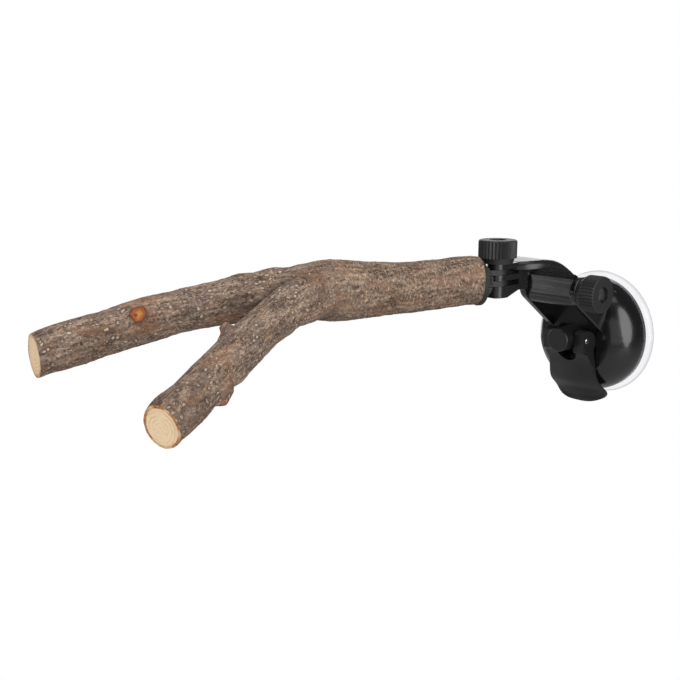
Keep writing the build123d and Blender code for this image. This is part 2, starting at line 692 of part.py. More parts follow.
def branch():
    """One piece of wood: trunk with the far prong, the near prong, a twig stub, a bump and a knot."""
    main = trunk_stations() + far_stations()
    near = near_stations()
    body = limb(main, Vector(*FAR_CUT_FACING_SHARES)) + limb(near)
    twig = on_limb(near, TWIG_PLACE_SHARE, Vector(*TWIG_FACING_SHARES))
    bump = on_limb(near, BUMP_PLACE_SHARE, Vector(*BUMP_FACING_SHARES))
    knot = on_limb(far_stations(), KNOT_PLACE_SHARE, Vector(*KNOT_FACING_SHARES))
    body += stub(twig, TWIG_DIAMETER, TWIG_TIP_DIAMETER, TWIG_LENGTH)
    body += stub(bump, BUMP_DIAMETER, BUMP_TIP_DIAMETER, BUMP_HEIGHT)
    body += stub(knot, KNOT_DIAMETER, KNOT_TIP_DIAMETER, KNOT_HEIGHT)
    plane = out_plane(0, SWIVEL_OUT + WOOD_OUT, STUD_UP)
    return at_rest(body - rod(plane, STUD_DIAMETER + 2 * RUNNING_FIT, STUD_GRIP + LAYER_FIT))


def build():
    """All pieces by name."""
    tilt_knob_plane = right_plane(EAR_OUTER + RUNNING_FIT, TILT_OUT, TILT_UP)
    swivel_knob_plane = up_plane(0, SWIVEL_OUT, STACK_TOP + RUNNING_FIT)
    tilt_nut_seat = -EAR_OUTER - NUT_BOSS_HEIGHT + NUT_HEIGHT
    swivel_nut_seat = STACK_LOW - SWIVEL_BOSS_HEIGHT + NUT_HEIGHT
    tilt_below = EAR_OUTER + RUNNING_FIT - tilt_nut_seat + NUT_HEIGHT + BOLT_TAIL
    swivel_below = STACK_TOP + RUNNING_FIT - swivel_nut_seat + NUT_HEIGHT + BOLT_TAIL
    left = Plane(origin=(tilt_nut_seat, -TILT_OUT, TILT_UP), x_dir=(0, 0, 1), z_dir=(-1, 0, 0))
    down = Plane(origin=(0, -SWIVEL_OUT, swivel_nut_seat), x_dir=(1, 0, 0), z_dir=(0, 0, -1))
    return {
        "suction_pad": suction_pad(),
        "cup_dome": cup_dome(),
        "pad_stem": pad_stem(),
        "cam_lever": cam_lever(),
        "lever_pin": lever_pin(),
        "arm": arm(),
        "tilt_knob": knob(tilt_knob_plane),
        "tilt_bolt": bolt(tilt_knob_plane, tilt_below),
        "tilt_nut": nut(left),
        "swivel_knob": knob(swivel_knob_plane),
        "swivel_bolt": bolt(swivel_knob_plane, swivel_below),
        "swivel_nut": nut(down),
        "prong_adapter": prong_adapter(),
        "lock_ring": lock_ring(),
        "branch_stud": branch_stud(),
        "friction_washer": friction_washer(),
        "branch": branch(),
    }


os.makedirs("parts", exist_ok=True)
for name, piece in build().items():
    export_step(piece, f"parts/{name}.step")
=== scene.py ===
"""Looks of the bird perch: a forked natural branch on a black lever suction mount."""
import json
import math

import bpy
import numpy as np
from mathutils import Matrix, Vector

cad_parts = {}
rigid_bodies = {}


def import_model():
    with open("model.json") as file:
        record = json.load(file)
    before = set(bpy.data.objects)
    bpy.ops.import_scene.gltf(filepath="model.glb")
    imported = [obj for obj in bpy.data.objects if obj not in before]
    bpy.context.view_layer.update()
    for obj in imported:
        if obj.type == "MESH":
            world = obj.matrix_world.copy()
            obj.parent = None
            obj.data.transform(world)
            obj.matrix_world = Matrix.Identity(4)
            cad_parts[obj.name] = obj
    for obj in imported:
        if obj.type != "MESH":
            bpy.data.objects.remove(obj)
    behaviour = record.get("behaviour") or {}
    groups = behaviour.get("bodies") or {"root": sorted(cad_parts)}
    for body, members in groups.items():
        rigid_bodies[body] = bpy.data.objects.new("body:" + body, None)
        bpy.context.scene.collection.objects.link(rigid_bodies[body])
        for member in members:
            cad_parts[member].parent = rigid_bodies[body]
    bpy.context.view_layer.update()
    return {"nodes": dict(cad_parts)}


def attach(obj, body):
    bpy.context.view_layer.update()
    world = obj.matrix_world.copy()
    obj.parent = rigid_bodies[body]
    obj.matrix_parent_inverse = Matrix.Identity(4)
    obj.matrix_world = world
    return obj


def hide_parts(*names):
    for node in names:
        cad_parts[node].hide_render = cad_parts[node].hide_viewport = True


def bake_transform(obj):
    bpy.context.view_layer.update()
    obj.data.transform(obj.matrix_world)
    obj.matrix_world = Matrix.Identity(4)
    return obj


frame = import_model()
nodes = frame["nodes"]

# Suction pad.
# Clear soft disc, moulded in one piece: a thin lip on the glass, a thick seat under the dome and a core round
# the stem's foot. The lip on the glass shows as a grey line.
MM = 0.001
PAD_SIDES = 144
PAD_RINGS = (  # radius, distance out from the glass, mm
    (4.0, 2.36), (9.0, 2.1), (14.0, 1.55), (19.0, 0.65), (22.0, 0.2), (24.0, 0.02), (30.0, 0.02),
    (36.9, 0.02), (37.35, 0.2), (37.5, 0.6), (37.45, 1.05), (37.15, 1.4), (36.5, 2.1), (36.0, 2.75),
    (35.5, 3.4), (35.1, 3.58), (24.0, 3.6), (13.6, 3.6), (13.0, 4.4), (12.6, 7.0), (12.35, 9.1),
    (12.0, 9.45), (11.2, 9.5), (10.15, 9.5), (10.15, 6.5), (4.0, 6.5),
)
PAD_SMOOTH_ANGLE = 40
GREY_LIP = (36.2, 37.2)  # radii between which the lip turns grey, mm


def mm(*values):
    """Millimetres as a place in metres."""
    return Vector(values) * MM


def turned(name, sides, rings, at, rotation, fill_type):
    """Turns a profile of rings about an axis, and stays in edit mode with the last ring selected."""
    first_radius, first_out = rings[0]
    bpy.ops.object.select_all(action="DESELECT")
    bpy.ops.mesh.primitive_circle_add(
        vertices=sides, radius=first_radius * MM, fill_type=fill_type,
        location=at(first_out), rotation=rotation,
    )
    piece = bpy.context.object
    piece.name = name
    piece.data.name = name
    bpy.ops.object.transform_apply(location=True, rotation=True, scale=True)
    bpy.ops.object.mode_set(mode="EDIT")
    bpy.ops.mesh.select_mode(type="EDGE")
    bpy.ops.mesh.select_all(action="SELECT")
    for (radius, out), (next_radius, next_out) in zip(rings, rings[1:]):
        bpy.ops.mesh.extrude_edges_move(TRANSFORM_OT_translate={"value": at(next_out) - at(out)})
        grow = next_radius / radius
        bpy.ops.transform.resize(value=(grow, grow, grow), center_override=at(next_out))
    return piece


def face_out(smooth_angle):
    """Points all faces outwards, leaves edit mode and shades the piece smooth up to an angle."""
    bpy.ops.mesh.select_all(action="SELECT")
    bpy.ops.mesh.normals_make_consistent(inside=False)
    bpy.ops.object.mode_set(mode="OBJECT")
    bpy.ops.object.shade_smooth_by_angle(angle=math.radians(smooth_angle))


def off_the_glass(out):
    """A place on the pad's axis."""
    return mm(0, -out, 0)


pad = turned("clear_pad", PAD_SIDES, PAD_RINGS, off_the_glass, (math.pi / 2, 0, 0), "NGON")
bpy.ops.mesh.edge_face_add()
face_out(PAD_SMOOTH_ANGLE)


def paint(red, green, blue):
    """A colour as read from a screen, made linear."""
    parts = [c / 255 for c in (red, green, blue)]
    return [p / 12.92 if p <= 0.04045 else ((p + 0.055) / 1.055) ** 2.4 for p in parts] + [1.0]


def add(tree, kind, **settings):
    """A new node with its settings."""
    node = tree.nodes.new(kind)
    for key, value in settings.items():
        setattr(node, key, value)
    return node


def feed(tree, socket, value):
    """Links an output to a socket, or sets the socket to a plain value."""
    if hasattr(value, "is_output"):
        tree.links.new(value, socket)
    else:
        socket.default_value = value


def ramp(tree, value, low, high, to_low=0.0, to_high=1.0):
    """A soft step: to_low below low, to_high above high."""
    node = add(tree, "ShaderNodeMapRange", interpolation_type="SMOOTHSTEP")
    for socket, number in zip(node.inputs, (value, low, high, to_low, to_high)):
        feed(tree, socket, number)
    return node.outputs[0]


def over_span(tree, length, span, to_low=0.0, to_high=1.0):
    """A soft step over a span in mm."""
    return ramp(tree, length, span[0] * MM, span[1] * MM, to_low, to_high)


def uneven(tree, noise, least, most):
    """A roughness that wanders with a noise."""
    return ramp(tree, noise, 0.3, 0.7, least, most)


def mixed(tree, share, first, second):
    """Two colours mixed by a share."""
    node = add(tree, "ShaderNodeMix", data_type="RGBA")
    feed(tree, node.inputs[0], share)
    feed(tree, node.inputs[6], first)
    feed(tree, node.inputs[7], second)
    return node.outputs[2]


def cloudy(tree, place, scale, detail, rough=0.5):
    """Noise between 0 and 1 at a place."""
    node = add(tree, "ShaderNodeTexNoise")
    tree.links.new(place, node.inputs["Vector"])
    feed(tree, node.inputs["Scale"], scale)
    node.inputs["Detail"].default_value = detail
    node.inputs["Roughness"].default_value = rough
    return node.outputs["Fac"]


def stretched(tree, place, x, y, z):
    """A place stretched along its axes."""
    node = add(tree, "ShaderNodeVectorMath", operation="MULTIPLY")
    tree.links.new(place, node.inputs[0])
    node.inputs[1].default_value = (x, y, z)
    return node.outputs[0]


def object_place(tree):
    """The place on the object, in metres."""
    return add(tree, "ShaderNodeTexCoord").outputs["Object"]


def new_material(name, **settings):
    """A material with its shader and the shader's plain values."""
    material = bpy.data.materials.new(name)
    material.use_nodes = True
    shader = material.node_tree.nodes["Principled BSDF"]
    for key, value in settings.items():
        shader.inputs[key.replace("_", " ")].default_value = value
    return material, material.node_tree, shader


def coloured(tree, shader, colour, roughness):
    """Gives a shader its colour and its roughness."""
    tree.links.new(colour, shader.inputs["Base Color"])
    tree.links.new(roughness, shader.inputs["Roughness"])


def wear(piece, material):
    """Gives a piece one material all over."""
    if not piece.material_slots:
        piece.data.materials.append(material)
    for holder in piece.material_slots:
        holder.material = material


clear_pvc, tree, shader = new_material(
    "clear_pvc", IOR=1.06, Transmission_Weight=1.0, Coat_Weight=0.4, Coat_Roughness=0.06,
)
place = object_place(tree)
haze = cloudy(tree, place, 90, 3)
body = mixed(tree, haze, paint(251, 250, 252), paint(240, 239, 243))
from_axis = add(tree, "ShaderNodeVectorMath", operation="LENGTH")
tree.links.new(stretched(tree, place, 1, 0, 1), from_axis.inputs[0])
body = mixed(tree, over_span(tree, from_axis.outputs["Value"], GREY_LIP), body, paint(208, 206, 211))
# Painted shade: the clear pad turns grey where it is seen edge-on.
painted_edge_shade = ramp(tree, add(tree, "ShaderNodeLayerWeight").outputs["Facing"], 0.5, 0.95)
body = mixed(tree, painted_edge_shade, body, paint(150, 147, 157))
coloured(tree, shader, body, uneven(tree, haze, 0.02, 0.08))
wear(pad, clear_pvc)
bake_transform(pad)
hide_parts("suction_pad")

# Dome with its two ears.
# Glossy black moulding, polished on the outside; faint flow marks and finger smears break its shine.
SMEAR_SCALE = 40
GRAIN_STRENGTH = 0.25


def bumped(tree, shader, height, strength, depth):
    """Raises a surface by a height, up to a depth in mm."""
    node = add(tree, "ShaderNodeBump")
    node.inputs["Strength"].default_value = strength
    node.inputs["Distance"].default_value = depth * MM
    tree.links.new(height, node.inputs["Height"])
    tree.links.new(node.outputs["Normal"], shader.inputs["Normal"])


def moulded_skin():
    """Shared surface of the black mouldings: a smear that shifts the shine and a fine grain."""
    group = bpy.data.node_groups.new("moulded_skin", "ShaderNodeTree")
    for label in ("Grain Scale", "Least", "Most"):
        group.interface.new_socket(label, in_out="INPUT", socket_type="NodeSocketFloat")
    for label in ("Shade", "Roughness", "Height"):
        group.interface.new_socket(label, in_out="OUTPUT", socket_type="NodeSocketFloat")
    given = group.nodes.new("NodeGroupInput")
    result = group.nodes.new("NodeGroupOutput")
    place = object_place(group)
    smear = cloudy(group, place, SMEAR_SCALE, 3)
    grain = cloudy(group, place, given.outputs["Grain Scale"], 2)
    rough = add(group, "ShaderNodeMapRange")
    bounds = (smear, 0.3, 0.7, given.outputs["Least"], given.outputs["Most"])
    for label, value in zip(("Value", "From Min", "From Max", "To Min", "To Max"), bounds):
        feed(group, rough.inputs[label], value)
    group.links.new(smear, result.inputs["Shade"])
    group.links.new(rough.outputs["Result"], result.inputs["Roughness"])
    group.links.new(grain, result.inputs["Height"])
    return group


skin_group = moulded_skin()


def black_plastic(name, dark, pale, least, most, grain, depth, **settings):
    """A black moulding between two near-black tones, with its own shine and depth of grain in mm."""
    material, tree, shader = new_material(name, **settings)
    skin = add(tree, "ShaderNodeGroup", node_tree=skin_group)
    skin.inputs["Grain Scale"].default_value = grain
    skin.inputs["Least"].default_value = least
    skin.inputs["Most"].default_value = most
    coloured(tree, shader, mixed(tree, skin.outputs["Shade"], dark, pale), skin.outputs["Roughness"])
    bumped(tree, shader, skin.outputs["Height"], GRAIN_STRENGTH, depth)
    return material


gloss_black = black_plastic(
    "gloss_black", paint(14, 13, 13), paint(20, 19, 19), least=0.16, most=0.24, grain=500, depth=0.03,
    Coat_Weight=0.25, Coat_Roughness=0.08,
)
wear(nodes["cup_dome"], gloss_black)

# Stem, cam lever and cross pin.
# Satin black mouldings with a fine spark-eroded grain, and a bright drawn steel pin through lever and stem.
satin_black = black_plastic(
    "satin_black", paint(16, 15, 15), paint(23, 21, 22), least=0.4, most=0.52, grain=1400, depth=0.06,
)
wear(nodes["pad_stem"], satin_black)
wear(nodes["cam_lever"], satin_black)

bright_steel, tree, shader = new_material("bright_steel", Metallic=1.0)
drawn = cloudy(tree, stretched(tree, object_place(tree), 60, 2500, 2500), 1, 3)
steel = mixed(tree, drawn, paint(205, 205, 208), paint(240, 240, 240))
coloured(tree, shader, steel, uneven(tree, drawn, 0.14, 0.3))
wear(nodes["lever_pin"], bright_steel)

# Tilting arm.
# One black moulding with a soft shine: hub between the ears, hood and three flat prongs. The flow of the
# plastic shows as fine streaks.
def calc(tree, operation, first, second=0.0):
    """A sum of two values, or of one."""
    node = add(tree, "ShaderNodeMath", operation=operation)
    feed(tree, node.inputs[0], first)
    feed(tree, node.inputs[1], second)
    return node.outputs[0]


arm_black, tree, shader = new_material("arm_black")
place = object_place(tree)
flow = cloudy(tree, stretched(tree, place, 40, 900, 900), 1, 3)
cloud = cloudy(tree, place, 45, 3)
shine = calc(tree, "ADD", uneven(tree, flow, 0.2, 0.28), uneven(tree, cloud, 0.0, 0.06))
coloured(tree, shader, mixed(tree, flow, paint(22, 21, 22), paint(34, 32, 33)), shine)
bumped(tree, shader, flow, 0.15, 0.08)
wear(nodes["arm"], arm_black)

# Thumb knobs, adapter and lock ring.
# Matt black mouldings with a deeper grain than the arm; each knob holds its bolt's head in a pocket.
knob_black = black_plastic(
    "knob_black", paint(26, 25, 25), paint(36, 35, 35), least=0.48, most=0.6, grain=1100, depth=0.1,
)
for name in ("tilt_knob", "swivel_knob", "prong_adapter", "lock_ring"):
    wear(nodes[name], knob_black)

# Bolts, nuts and stud.
# Zinc-plated steel with a faint mottle; the bolts clamp the two pivots, the stud carries the branch.
zinc_steel, tree, shader = new_material("zinc_steel", Metallic=1.0)
mottle = cloudy(tree, object_place(tree), 420, 5, 0.6)
zinc = mixed(tree, mottle, paint(120, 120, 122), paint(176, 176, 174))
coloured(tree, shader, zinc, uneven(tree, mottle, 0.3, 0.48))
for name in ("tilt_bolt", "swivel_bolt", "tilt_nut", "swivel_nut", "branch_stud"):
    wear(nodes[name], zinc_steel)

# Friction washer.
# Dark rubber flange between the lock ring and the trunk's cut end, turned about the stud and cut off on the
# slant of that end.
WASHER_SIDES = 72
WASHER_SMOOTH_ANGLE = 35
STUD_MIDDLE = (0, -100.2, 40.6)
TRUNK_TURN = math.radians(22)
TRUNK_WAY = Vector((-math.sin(TRUNK_TURN), -math.cos(TRUNK_TURN), 0))
WASHER_RINGS = (  # radius, distance out from the swivel's axis, mm
    (3.2, 16.0), (3.2, 9.55), (9.3, 9.55), (9.9, 9.75), (10.2, 10.5), (12.6, 10.65), (12.95, 10.9),
    (12.95, 16.0),
)
ROOT_CUT = ((-4.53, -111.42, 40.6), (0.49, 0.87, -0.052))  # where the saw went, and the way the cut faces
WOOD_GAP = 0.04


def along_stud(out):
    """A place on the stud's axis."""
    return mm(*STUD_MIDDLE) + TRUNK_WAY * out * MM


washer = turned(
    "rubber_washer", WASHER_SIDES, WASHER_RINGS, along_stud, (math.pi / 2, 0, -TRUNK_TURN), "NOTHING",
)
bpy.ops.mesh.select_all(action="SELECT")
root_face = mm(*ROOT_CUT[0]) + Vector(ROOT_CUT[1]) * WOOD_GAP * MM
bpy.ops.mesh.bisect(plane_co=root_face, plane_no=ROOT_CUT[1], use_fill=False, clear_inner=True)
bpy.ops.mesh.select_all(action="DESELECT")
bpy.ops.mesh.select_non_manifold()
bpy.ops.mesh.bridge_edge_loops()
face_out(WASHER_SMOOTH_ANGLE)
washer_rubber, tree, shader = new_material("washer_rubber")
dust = cloudy(tree, object_place(tree), 260, 6, 0.6)
rubber = mixed(tree, dust, paint(24, 23, 23), paint(40, 38, 37))
coloured(tree, shader, rubber, uneven(tree, dust, 0.6, 0.82))
bumped(tree, shader, dust, 0.3, 0.1)
wear(washer, washer_rubber)
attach(washer, "branch")
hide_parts("friction_washer")

# Branch.
# One forked piece of natural wood in its bark. The form is grown from the part's own solid: drawn out past
# its ends, softened, pulled into swellings, creased in the crotch, sawn off on the slant and roughened.
WOOD_OUT = 11.1  # from the swivel's axis to the trunk's cut end, mm
TRUNK_SIZES = (87.1, 1.4, 1.05, 26.4, 30.9)  # reach, side, drop, thickness at the root and at the tip, mm
FAR_SIZES = (145.4, -3.6, 24.7, 25.8, 21.5)
NEAR_SIZES = (106.1, 84.6, 40.0, 25.9, 19.4)
NEAR_ROOT_BACK = 6.1
TRUNK_SHARES = (  # of the reach, the side, the drop and the change in thickness, as in the part's source
    (0.0, -0.11, -0.26, 0.0), (0.114, -0.13, -0.85, 0.07), (0.299, 0.21, 0.44, 0.04),
    (0.53, 0.51, 1.0, 0.38), (0.786, 0.81, 0.96, 0.76), (1.0, 1.0, 0.55, 1.0),
)
FAR_SHARES = (
    (0.118, 0.17, -0.02, 0.0), (0.254, 0.43, 0.032, 0.3), (0.412, 0.62, 0.166, 0.79),
    (0.562, 0.8, 0.325, 0.77), (0.684, 0.875, 0.486, 0.79), (0.786, 0.887, 0.65, 0.77),
    (0.893, 0.936, 0.811, 0.74), (0.969, 1.01, 0.929, 0.84), (1.0, 1.0, 1.0, 1.0),
)
NEAR_SHARES = (
    (0.0, 0.0, 0.0, 0.35), (0.1, 0.03, 0.018, 0.2), (0.198, 0.093, 0.06, 0.108),
    (0.315, 0.194, 0.16, 0.46), (0.433, 0.308, 0.284, 0.754), (0.606, 0.506, 0.506, 0.729),
    (0.758, 0.687, 0.686, 0.98), (0.878, 0.846, 0.849, 0.81), (0.959, 0.944, 0.942, 0.82),
    (1.0, 1.0, 1.0, 1.0),
)
FAR_CUT = ((-93.5, -325.8, 15.05), (-0.168, -0.983, -0.074))
NEAR_CUT = ((5.4, -316.0, 0.1), (0.307, -0.935, -0.18))
FORK_SIDE = (-20.5, -195.5, 36.0)
BUMP = (-3.5, -278.4, 5.9)
BUMP_SHOULDER = (-7.0, -270.7, 8.3)
BUMP_TIP = (-0.3, -280.8, 1.6)
TWIG = (-24.5, -261.6, 29.6)
KNOT = (-65.5, -284.8, 34.6)
KNOT_HALO = (-63.5, -281.8, 32.1)
KNOT_PIT = (-66.4, -285.8, 34.4)
END_REACH = 20
PRONG_OVERRUN = 5
ROOT_OVERRUN = 2
BARK_VOXEL = 0.8
SMOOTH_SHARE = 0.5
ALL_OVER_ROUNDS = 5
SOFT_SPOTS = (  # place on the bark, reach in mm, rounds of smoothing
    (FORK_SIDE, 21, 160), (BUMP, 13, 70), (BUMP_SHOULDER, 8, 60), (TWIG, 7, 20),
)
PULLS = (  # place on the bark, way and length of the pull, how far it reaches, mm
    ((-8.2, -266.2, 9.1), (0.78, 0.59, -1.0), 9),
    ((-0.8, -281.1, 2.2), (0.84, 0.63, -1.08), 6),
    ((-23.7, -266.4, 27.7), (-0.67, -0.5, 0.86), 5),
    ((-25.9, -216.4, 24.6), (-0.6, -0.35, 1.1), 11),
    ((-49.6, -217.1, 52.1), (-0.22, 0.19, 1.5), 10),
    ((-59.6, -240.3, 47.9), (0.1, -0.1, -0.8), 10),
    ((-3.2, -314.8, 9.9), (-0.4, -0.3, 0.5), 7),
    ((-37.8, -189.8, 55.1), (-0.1, 0.1, 0.6), 15),
    ((-66.7, -255.9, 44.9), (-0.1, 0.1, 0.7), 13),
)
GRAIN_TURN = (-1.5, 4.5)  # how much closer the near prong is while the grain turns to follow it, mm
FORK_TOP, FORK_SIDES, FORK_RUN = -207, -190, 10  # start of the crotch above and beside, and its run-in, mm
# SHADE_REACH: how far from the seam the painted shade in the crotch reaches, mm.
CREASE_REACH, CREASE_DEPTH, SHADE_REACH = 1.8, 0.9, 6
BARK_RELIEF = (  # name, size of the lumps in mm, steps of detail, height in mm
    ("bark_swell", 30, 1, 0.6), ("bark_lumps", 9, 2, 0.8), ("bark_crust", 2.6, 3, 0.5),
)
RELIEF_MIDDLE = 0.6
INNER_BARK = 1.3
BARK_SMOOTH_ANGLE = 50
PLACES_AT_ONCE = 4000


def limb(start, sizes, shares):
    """A limb's middle points, right of, out from and above the swivel, with its thickness at each, in mm."""
    right, out, up = start
    reach, side, drop, root, tip = sizes
    return [
        (right + across * side, out + along * reach, up - fall * drop, root + grown * (tip - root))
        for along, across, fall, grown in shares
    ]


def at_rest(rows):
    """A limb turned to where the swivel holds it: places and thicknesses to a tenth of a mm."""
    x, y, z = STUD_MIDDLE
    cosine, sine = math.cos(TRUNK_TURN), math.sin(TRUNK_TURN)
    return [
        tuple(round(value, 1) for value in (
            x + right * cosine - out * sine, y - right * sine - out * cosine, z + up, thick,
        ))
        for right, out, up, thick in rows
    ]


trunk = limb((0, WOOD_OUT, 0), TRUNK_SIZES, TRUNK_SHARES)
fork = trunk[-1][:3]
near_root = (fork[0], fork[1] - NEAR_ROOT_BACK, fork[2])
trunk_and_far = at_rest(trunk + limb(fork, FAR_SIZES, FAR_SHARES))
near_prong = at_rest(limb(near_root, NEAR_SIZES, NEAR_SHARES))


def active(piece):
    """Selects one piece alone, for the operators that follow."""
    bpy.ops.object.select_all(action="DESELECT")
    piece.select_set(True)
    bpy.context.view_layer.objects.active = piece


def apply_modifier(piece, kind, **settings):
    """Adds a modifier and applies it to the mesh."""
    active(piece)
    modifier = piece.modifiers.new(kind.lower(), kind)
    for key, value in settings.items():
        setattr(modifier, key, value)
    bpy.ops.object.modifier_apply(modifier=modifier.name)


bark = bpy.data.objects.new("bark_branch", nodes["branch"].data.copy())
bark.data.name = "bark_branch"
bark.data.materials.clear()
bpy.context.scene.collection.objects.link(bark)
active(bark)
bpy.ops.object.mode_set(mode="EDIT")
bpy.ops.mesh.select_all(action="SELECT")
bpy.ops.mesh.remove_doubles(threshold=0.000002)
bpy.ops.mesh.normals_make_consistent(inside=False)
bpy.ops.object.mode_set(mode="OBJECT")


def none_selected(piece, kind):
    """Drops the selection in a piece's mesh, so that code can select its points, edges or faces."""
    active(piece)
    bpy.ops.object.mode_set(mode="EDIT")
    bpy.ops.mesh.select_mode(type=kind)
    bpy.ops.mesh.select_all(action="DESELECT")
    bpy.ops.object.mode_set(mode="OBJECT")


def draw_out(piece, tip, before, faces, length):
    """Draws a limb's end out past its saw cut."""
    way = (mm(*tip[:3]) - mm(*before[:3])).normalized()
    none_selected(piece, "FACE")
    for face in piece.data.polygons:
        at_tip = (face.center - mm(*tip[:3])).length < END_REACH * MM
        face.select = at_tip and face.normal.dot(Vector(faces)) > 0.9
    bpy.ops.object.mode_set(mode="EDIT")
    bpy.ops.mesh.extrude_region_move(TRANSFORM_OT_translate={"value": way * length * MM})
    bpy.ops.object.mode_set(mode="OBJECT")


draw_out(bark, trunk_and_far[-1], trunk_and_far[-3], FAR_CUT[1], PRONG_OVERRUN)
draw_out(bark, near_prong[-1], near_prong[-3], NEAR_CUT[1], PRONG_OVERRUN)
draw_out(bark, trunk_and_far[0], trunk_and_far[1], ROOT_CUT[1], ROOT_OVERRUN)
apply_modifier(bark, "REMESH", mode="VOXEL", voxel_size=BARK_VOXEL * MM, use_smooth_shade=True)
apply_modifier(bark, "SMOOTH", factor=SMOOTH_SHARE, iterations=ALL_OVER_ROUNDS)


def soften(piece, place, reach, rounds):
    """Rounds the bark off about a place."""
    about = piece.vertex_groups.new(name="about")
    for point in piece.data.vertices:
        gap = (point.co - mm(*place)).length / MM / reach
        if gap < 1:
            about.add([point.index], 1 - gap * gap, "REPLACE")
    apply_modifier(piece, "SMOOTH", factor=SMOOTH_SHARE, iterations=rounds, vertex_group="about")
    piece.vertex_groups.clear()


def pull(piece, place, way, reach):
    """Pulls a soft swelling out of the bark, or presses it in."""
    none_selected(piece, "VERT")
    nearest = min(piece.data.vertices, key=lambda point: (point.co - mm(*place)).length_squared)
    nearest.select = True
    bpy.ops.object.mode_set(mode="EDIT")
    bpy.ops.transform.translate(
        value=mm(*way), use_proportional_edit=True, proportional_edit_falloff="SMOOTH",
        proportional_size=reach * MM,
    )
    bpy.ops.object.mode_set(mode="OBJECT")


for place, reach, rounds in SOFT_SPOTS:
    soften(bark, place, reach, rounds)
for place, way, reach in PULLS:
    pull(bark, place, way, reach)


def smooth_path(rows):
    """The limb's middle line with its corners rounded."""
    path = np.array(rows, float)
    for _ in range(4):
        first, second = path[:-1], path[1:]
        inner = np.stack([first * 0.75 + second * 0.25, first * 0.25 + second * 0.75], 1).reshape(-1, 4)
        path = np.vstack([path[:1], inner, path[-1:]])
    return path


def straightened(places, rows):
    """Places as seen along a limb: length along it, two distances across it, height above its bark, in mm."""
    path = smooth_path(rows)
    start, step = path[:-1], np.diff(path, axis=0)
    length = np.linalg.norm(step[:, :3], axis=1)
    run = np.concatenate([[0], np.cumsum(length)])[:-1]
    along = step[:, :3] / length[:, None]
    across = np.cross(along, (0.0, 0.0, 1.0))
    across /= np.linalg.norm(across, axis=1)[:, None]
    upward = np.cross(across, along)
    found = np.zeros((len(places), 4))
    for first in range(0, len(places), PLACES_AT_ONCE):
        some = slice(first, first + PLACES_AT_ONCE)
        offset = places[some, None, :] - start[None, :, :3]
        share = np.clip((offset * along[None]).sum(2), 0, length[None])
        gap = offset - share[..., None] * along[None]
        distance = np.linalg.norm(gap, axis=2)
        best = distance.argmin(1)
        row = np.arange(len(best))
        gap, share = gap[row, best], share[row, best]
        thick = start[best, 3] + step[best, 3] * share / length[best]
        found[some, 0] = run[best] + share
        found[some, 1] = (gap * across[best]).sum(1)
        found[some, 2] = (gap * upward[best]).sum(1)
        found[some, 3] = distance[row, best] - thick / 2
    return found


def on_the_limbs(piece):
    """Each point's place along its limb, how deep it lies in the crotch and how dark the painted shade in the
    crotch makes it, 0 to 1.
    """
    places = np.zeros(len(piece.data.vertices) * 3)
    piece.data.vertices.foreach_get("co", places)
    places = places.reshape(-1, 3) / MM
    by_main = straightened(places, trunk_and_far)
    by_near = straightened(places, near_prong)
    by_near[:, 0] += straightened(np.array(near_prong[:1])[:, :3], trunk_and_far)[0, 0]
    lead = by_main[:, 3] - by_near[:, 3]
    share = np.clip((lead - GRAIN_TURN[0]) / (GRAIN_TURN[1] - GRAIN_TURN[0]), 0, 1)[:, None]
    share = share * share * (3 - 2 * share)
    limb_place = (by_main * (1 - share) + by_near * share)[:, :3]
    apart = np.maximum(by_main[:, 3], by_near[:, 3])
    start = np.where(limb_place[:, 2] > -5, FORK_TOP, FORK_SIDES)
    forked = np.clip((start - places[:, 1]) / FORK_RUN, 0, 1)
    crease = np.clip(1 - apart / CREASE_REACH, 0, 1)
    # Painted shade in the crotch: full on the far prong's side of the seam, a fifth as dark on the near
    # prong's side.
    painted_shade_in_crotch = np.where(lead > 0, 0.2, 1.0) * np.clip(1 - apart / SHADE_REACH, 0, 1) ** 1.5
    return limb_place, crease * forked, painted_shade_in_crotch * forked


crease = on_the_limbs(bark)[1]
fold = bark.vertex_groups.new(name="fold")
for point in np.nonzero(crease > 0.02)[0]:
    fold.add([int(point)], float(crease[point]), "REPLACE")
apply_modifier(bark, "DISPLACE", strength=-CREASE_DEPTH * MM, mid_level=0.0, vertex_group="fold")
bark.vertex_groups.clear()


def saw_off(piece, cut, faces):
    """Saws a limb flat and leaves its end open."""
    active(piece)
    bpy.ops.object.mode_set(mode="EDIT")
    bpy.ops.mesh.select_all(action="SELECT")
    bpy.ops.mesh.bisect(plane_co=mm(*cut), plane_no=faces, use_fill=False, clear_outer=True)
    bpy.ops.object.mode_set(mode="OBJECT")


def roughen(piece, name, size, depth, height):
    """Raises and sinks the bark by a soft cloud pattern."""
    pattern = bpy.data.textures.new(name, "CLOUDS")
    pattern.noise_scale = size * MM
    pattern.noise_depth = depth
    apply_modifier(
        piece, "DISPLACE", texture=pattern, texture_coords="LOCAL",
        mid_level=RELIEF_MIDDLE, strength=height * MM,
    )


for cut, faces in (ROOT_CUT, FAR_CUT, NEAR_CUT):
    saw_off(bark, cut, faces)
for name, size, depth, height in BARK_RELIEF:
    roughen(bark, name, size, depth, height)


def open_rim(piece, cut):
    """Selects the open rim of one sawn end and gives its mean distance from the end's middle."""
    none_selected(piece, "EDGE")
    bpy.ops.object.mode_set(mode="EDIT")
    bpy.ops.mesh.select_non_manifold(
        extend=False, use_wire=False, use_multi_face=False, use_non_contiguous=False, use_verts=False,
    )
    bpy.ops.object.mode_set(mode="OBJECT")
    points = piece.data.vertices
    reach = []
    for edge in piece.data.edges:
        middle = (points[edge.vertices[0]].co + points[edge.vertices[1]].co) / 2
        gap = (middle - mm(*cut)).length
        edge.select = edge.select and gap < END_REACH * MM
        if edge.select:
            reach.append(gap)
    return sum(reach) / len(reach)


